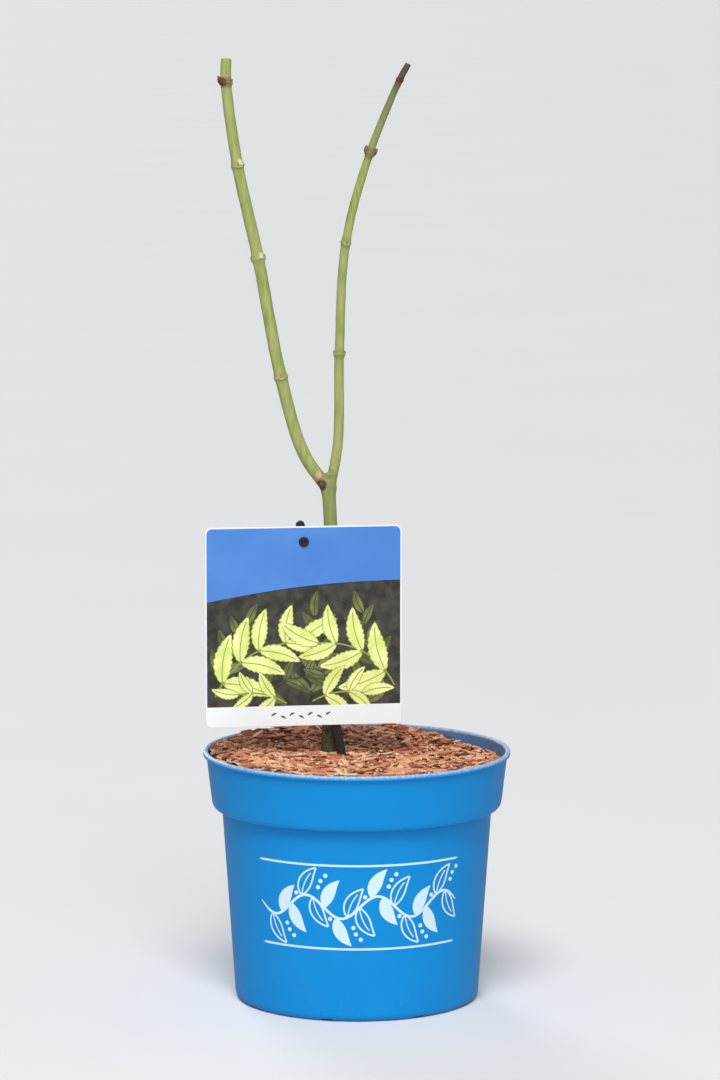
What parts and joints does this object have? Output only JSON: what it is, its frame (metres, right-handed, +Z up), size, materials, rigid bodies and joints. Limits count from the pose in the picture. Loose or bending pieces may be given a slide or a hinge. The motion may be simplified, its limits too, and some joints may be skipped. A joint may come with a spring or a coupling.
{
  "type": "potted japanese maple",
  "caption": "Young bare maple in a round blue nursery pot: a slim grafted trunk forking into two green shoots, bark mulch on potting soil, and a square picture label on a black stick.",
  "frame": {"origin": "middle of the pot's underside, on the surface that the pot stands on", "axes": "+Z up along the pot and trunk, front of the pot and label facing -Y, +X to the right as seen from the front"},
  "size_m": [0.19, 0.19, 0.5801],
  "materials": {
    "pot_plastic": "smooth moulded plastic with a soft sheen",
    "potting_soil": "moist crumbly compost",
    "bark_chips": "rough shredded bark",
    "trunk_bark": "thin smooth bark with fine cracks",
    "green_bark": "smooth young bark",
    "label_card": "satin printed plastic card",
    "black_plastic": "moulded black plastic"
  },
  "bodies": {
    "root": {"pot": "pot_plastic", "potting_soil": "potting_soil", "bark_mulch": "bark_chips", "trunk": "trunk_bark", "left_shoot": "green_bark", "right_shoot": "green_bark", "label_card": "label_card", "label_stick": "black_plastic"}
  },
  "joints": []
}
